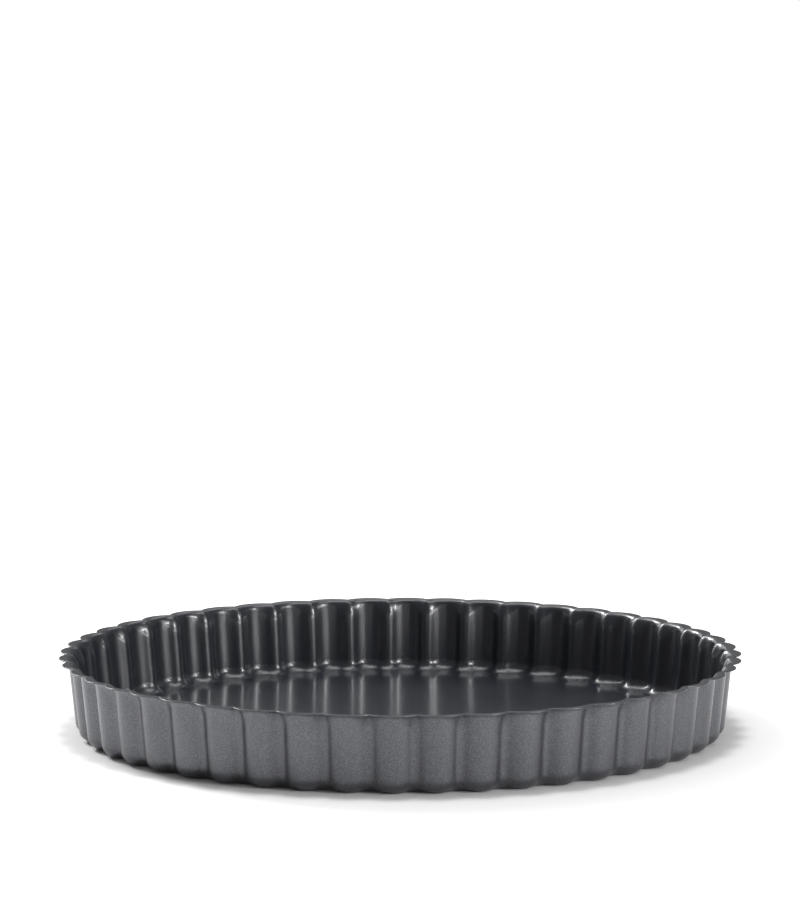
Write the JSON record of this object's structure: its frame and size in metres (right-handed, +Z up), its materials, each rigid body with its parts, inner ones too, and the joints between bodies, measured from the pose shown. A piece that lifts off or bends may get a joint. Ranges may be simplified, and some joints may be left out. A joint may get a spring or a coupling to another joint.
{
  "type": "fluted tart tin",
  "caption": "Round shallow baking tin pressed from one steel sheet, with a flat floor, a fluted wall that leans outward and a narrow scalloped lip.",
  "frame": {"origin": "middle of the underside, on the surface that the tin stands on", "axes": "+Z up out of the open top, along the tin's axis; +X and +Y each pass through the crest of a flute"},
  "size_m": [0.296, 0.296, 0.0335],
  "materials": {
    "nonstick_steel": "non-stick coating on steel sheet, smooth, glossy and near black inside, satin blue-grey with a fine metallic fleck outside"
  },
  "bodies": {
    "root": {"tart_tin": "nonstick_steel"}
  },
  "joints": []
}
